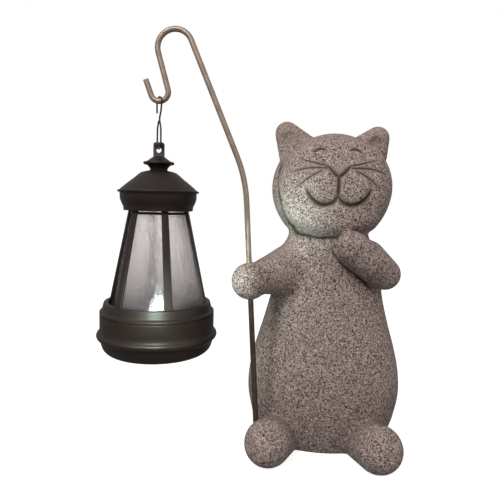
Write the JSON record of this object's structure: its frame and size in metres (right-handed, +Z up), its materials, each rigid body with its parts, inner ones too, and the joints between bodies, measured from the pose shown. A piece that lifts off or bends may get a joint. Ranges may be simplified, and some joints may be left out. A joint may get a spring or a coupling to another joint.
{
  "type": "garden statue",
  "caption": "Standing cat garden statue in stone-effect resin that holds a bent steel rod with a small lit lantern hanging from its crook.",
  "frame": {"origin": "middle of the cat's flat underside, on the ground", "axes": "+Z up, -Y the way the cat faces, the rod and its lantern on the cat's right towards -X"},
  "size_m": [0.2468, 0.1314, 0.3327],
  "materials": {
    "cast_stone": "matte, pitted all over with small worm-like holes",
    "rod_paint": "satin taupe",
    "wire": "dark, slightly dull",
    "dark_plastic": "satin dark brown",
    "clear_plastic": "clear and glossy",
    "light_lens": "cool white, lit"
  },
  "bodies": {
    "root": {"cat": "cast_stone", "crook_rod": "rod_paint", "hanging_wire": "wire", "lantern_cap": "dark_plastic", "lantern_frame": "dark_plastic", "lantern_glass": "clear_plastic", "lantern_base": "dark_plastic", "led_light": "light_lens"}
  },
  "joints": []
}
